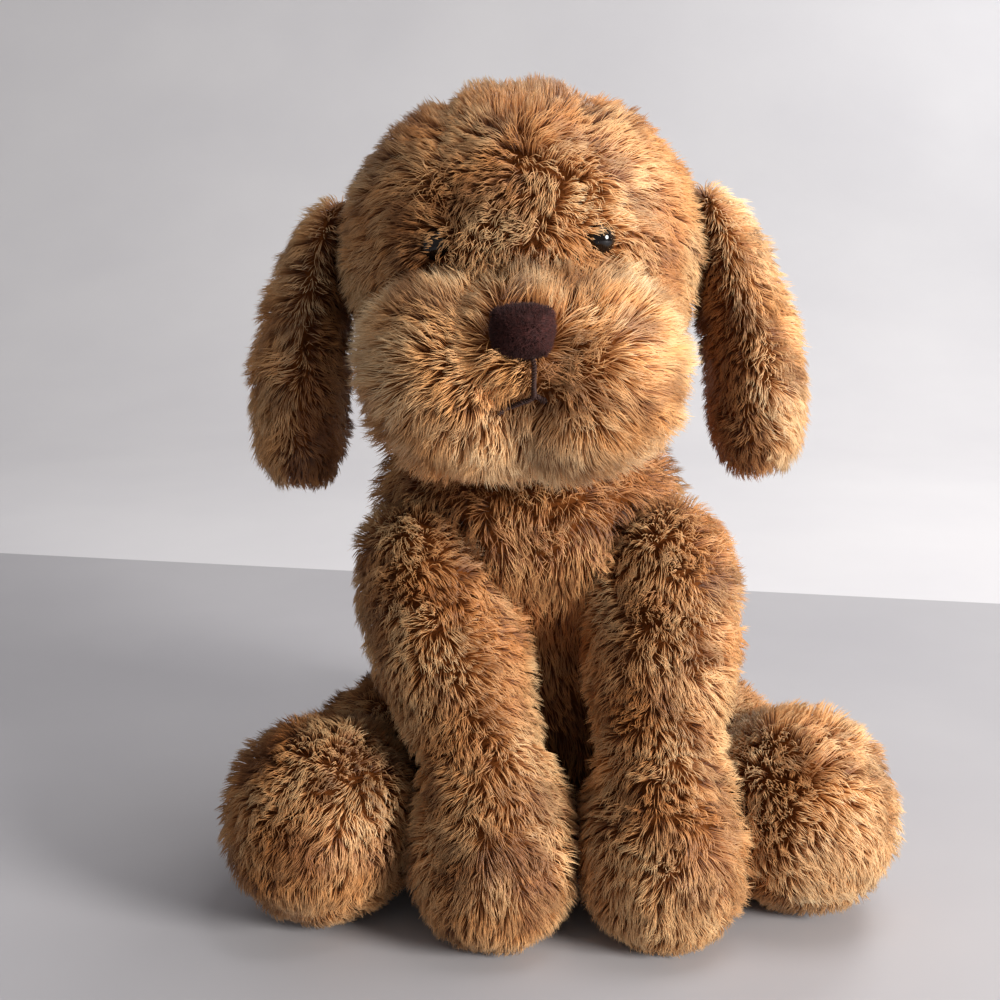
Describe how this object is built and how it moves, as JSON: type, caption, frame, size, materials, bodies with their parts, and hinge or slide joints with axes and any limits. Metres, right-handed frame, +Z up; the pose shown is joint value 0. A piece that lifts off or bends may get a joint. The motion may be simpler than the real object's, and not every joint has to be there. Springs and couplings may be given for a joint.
{
  "type": "plush dog",
  "caption": "Sitting long-pile plush puppy with a round head, wide muzzle, hanging ears, jointed head, legs and tail sewn from stuffed panels.",
  "frame": {"origin": "on the floor, on the seat's flat and in the puppy's middle plane", "axes": "+Z up, the puppy faces -Y, its own left side is +X"},
  "size_m": [0.1978, 0.1992, 0.2442],
  "materials": {
    "plush": "long pile plush, golden tan",
    "chest_plush": "long pile plush, darker brown",
    "ear_lining": "short pile plush, dark brown",
    "sole_plush": "long pile plush, light tan",
    "nose_velvet": "short flocked pile, dark maroon brown",
    "thread": "dark embroidery thread",
    "stuffing": "polyester fibre",
    "pellet_pouch": "plain cloth",
    "eye_plastic": "glossy, near black brown",
    "washer_plastic": "moulded"
  },
  "bodies": {
    "torso": {"seat_panel": "plush", "chest_panel": "chest_plush", "back_panel_left": "plush", "back_panel_right": "plush", "torso_stuffing": "stuffing", "pellet_pouch": "pellet_pouch"},
    "neck": {"neck_band": "plush", "neck_stuffing": "stuffing"},
    "head": {"head_gusset": "plush", "head_side_left": "plush", "head_side_right": "plush", "cheek_left": "plush", "cheek_right": "plush", "chin": "plush", "nose": "nose_velvet", "mouth_stitch": "thread", "head_stuffing": "stuffing", "muzzle_stuffing": "stuffing", "eye_left": "eye_plastic", "eye_right": "eye_plastic", "eye_washer_left": "washer_plastic", "eye_washer_right": "washer_plastic"},
    "ear_left": {"ear_outer_left": "plush", "ear_lining_left": "ear_lining", "ear_padding_left": "stuffing"},
    "ear_right": {"ear_outer_right": "plush", "ear_lining_right": "ear_lining", "ear_padding_right": "stuffing"},
    "front_leg_left": {"front_leg_left": "plush", "front_paw_left": "plush", "front_leg_stuffing_left": "stuffing"},
    "front_leg_right": {"front_leg_right": "plush", "front_paw_right": "plush", "front_leg_stuffing_right": "stuffing"},
    "hind_leg_left": {"thigh_left": "plush", "foot_upper_left": "plush", "foot_sole_left": "sole_plush", "hind_leg_stuffing_left": "stuffing"},
    "hind_leg_right": {"thigh_right": "plush", "foot_upper_right": "plush", "foot_sole_right": "sole_plush", "hind_leg_stuffing_right": "stuffing"},
    "tail": {"tail": "plush", "tail_stuffing": "stuffing"}
  },
  "joints": [
    {"name": "head_turn", "type": "hinge", "parent": "torso", "child": "neck", "pos_m": [-0.0064, -0.00602, 0.15855], "axis": [0, 0, 1], "range_deg": [-25, 25], "stiffness_Nm_per_rad": 0.4},
    {"name": "head_nod", "type": "hinge", "parent": "neck", "child": "head", "pos_m": [-0.0064, -0.00602, 0.15855], "axis": [1, 0, 0], "range_deg": [-15, 8], "stiffness_Nm_per_rad": 0.9},
    {"name": "ear_left_lift", "type": "hinge", "parent": "head", "child": "ear_left", "pos_m": [0.04815, -0.00799, 0.21449], "axis": [-0.0349, -0.9994, -0.0012], "range_deg": [-3, 70], "stiffness_Nm_per_rad": 0.02},
    {"name": "ear_right_lift", "type": "hinge", "parent": "head", "child": "ear_right", "pos_m": [-0.06571, -0.00401, 0.21051], "axis": [0.0349, 0.9994, 0.0012], "range_deg": [-3, 70], "stiffness_Nm_per_rad": 0.02},
    {"name": "front_leg_left_swing", "type": "hinge", "parent": "torso", "child": "front_leg_left", "pos_m": [0.035, -0.024, 0.101], "axis": [-1, 0, 0], "range_deg": [-2, 22], "stiffness_Nm_per_rad": 0.3},
    {"name": "front_leg_right_swing", "type": "hinge", "parent": "torso", "child": "front_leg_right", "pos_m": [-0.038, -0.024, 0.101], "axis": [-1, 0, 0], "range_deg": [-2, 22], "stiffness_Nm_per_rad": 0.3},
    {"name": "hind_leg_left_splay", "type": "hinge", "parent": "torso", "child": "hind_leg_left", "pos_m": [0.044, 0.018, 0.031], "axis": [0, 0, 1], "range_deg": [0, 35], "stiffness_Nm_per_rad": 0.3},
    {"name": "hind_leg_right_splay", "type": "hinge", "parent": "torso", "child": "hind_leg_right", "pos_m": [-0.044, 0.018, 0.031], "axis": [0, 0, -1], "range_deg": [0, 35], "stiffness_Nm_per_rad": 0.3},
    {"name": "tail_wag", "type": "hinge", "parent": "torso", "child": "tail", "pos_m": [0, 0.075, 0.027], "axis": [0, 0, 1], "range_deg": [-30, 30], "stiffness_Nm_per_rad": 0.05}
  ]
}
